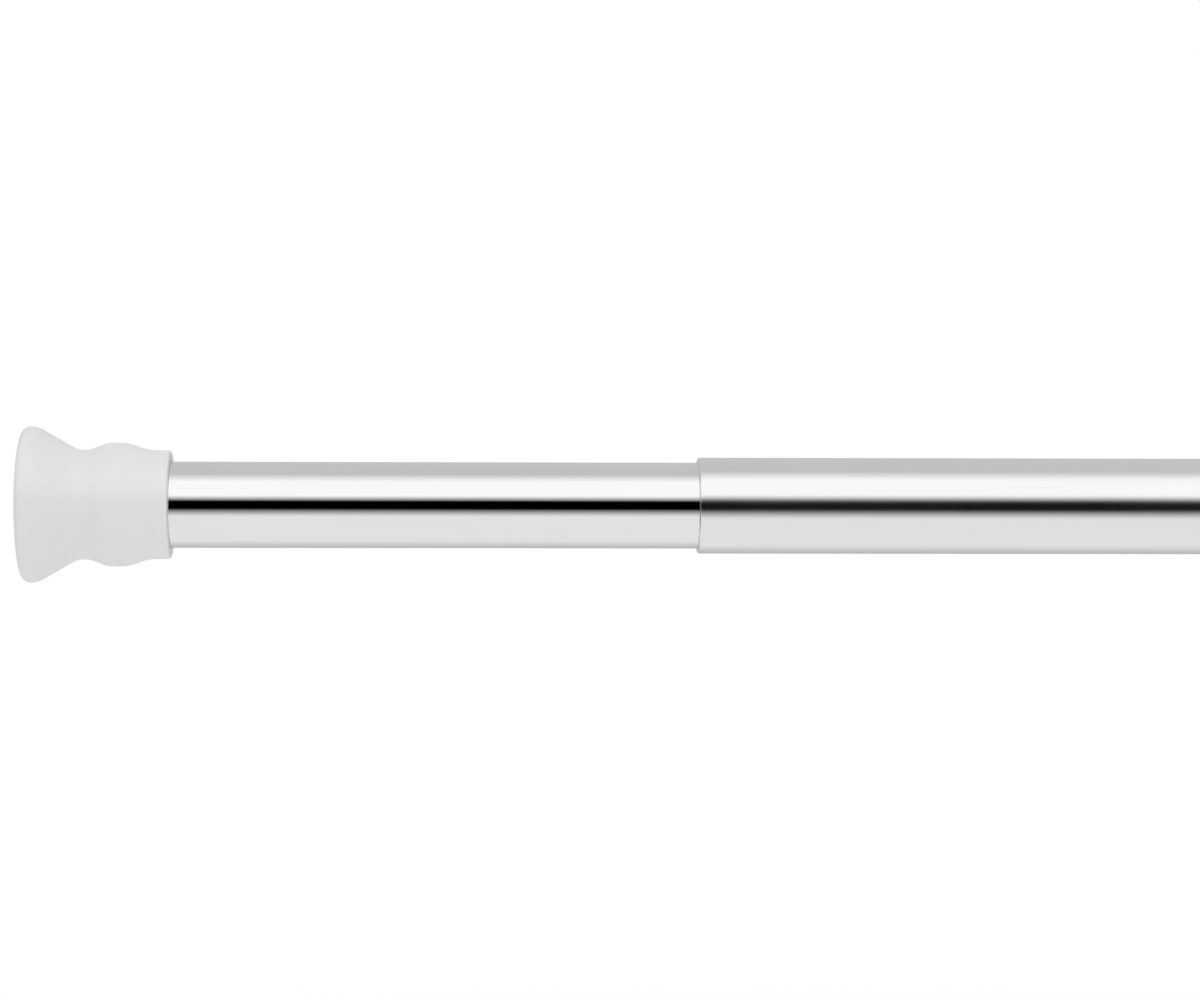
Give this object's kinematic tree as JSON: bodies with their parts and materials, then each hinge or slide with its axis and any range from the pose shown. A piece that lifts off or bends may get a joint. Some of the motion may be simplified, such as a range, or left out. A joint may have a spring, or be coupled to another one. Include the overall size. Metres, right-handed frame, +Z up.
{
  "type": "telescopic tension rod",
  "caption": "Chromed telescopic tension rod with flared rubber feet, an internal spring and a twist lock, set by pressure between two facing walls.",
  "frame": {"origin": "centre of the left foot's contact face", "axes": "+X along the rod from the left foot to the right foot, +Z up"},
  "size_m": [0.75, 0.0452, 0.0452],
  "materials": {
    "foot_rubber": "matte light grey moulded rubber",
    "inner_tube_chrome": "bright chrome plate on steel tube",
    "outer_tube_chrome": "bright chrome plate on steel tube, a little hazier",
    "plug_plastic": "natural moulded polyethylene",
    "bush_plastic": "natural moulded acetal",
    "cone_brass": "turned brass",
    "spring_steel": "oiled spring wire",
    "steel": "zinc-plated steel"
  },
  "bodies": {
    "inner_assembly": {"left_foot": "foot_rubber", "left_end_plug": "plug_plastic", "inner_tube": "inner_tube_chrome", "spring_stop": "plug_plastic", "stop_pin": "steel", "seat_washer": "steel", "compression_spring": "spring_steel", "inner_tube_bush": "bush_plastic", "bush_rivets": "steel"},
    "spindle": {"spindle": "steel", "thrust_washer": "steel", "spindle_nut": "steel", "collar_washer": "steel", "retaining_clip": "steel", "end_nut": "steel"},
    "expander": {"expander_collar": "bush_plastic"},
    "cone_nut": {"cone_nut": "cone_brass"},
    "outer_assembly": {"outer_tube": "outer_tube_chrome", "mouth_liner": "bush_plastic", "right_end_plug": "plug_plastic", "right_foot": "foot_rubber"}
  },
  "joints": [
    {"name": "spring_travel", "type": "slide", "parent": "inner_assembly", "child": "spindle", "axis": [-1, 0, 0], "range_m": [0, 0.025], "stiffness_N_per_m": 3600, "springref_m": -0.01, "deforming": ["compression_spring"]},
    {"name": "lock_twist", "type": "hinge", "parent": "spindle", "child": "expander", "pos_m": [0.55, 0, 0], "axis": [1, 0, 0], "range_deg": [0, 720]},
    {"name": "cone_travel", "type": "slide", "parent": "expander", "child": "cone_nut", "axis": [1, 0, 0], "range_m": [0, 0.00255]},
    {"name": "telescope", "type": "slide", "parent": "expander", "child": "outer_assembly", "axis": [1, 0, 0], "range_m": [-0.1265, 0.25]}
  ],
  "couplings": [
    {"joint": "cone_travel", "follows": "lock_twist", "m_per_rad": 0.00019894}
  ]
}
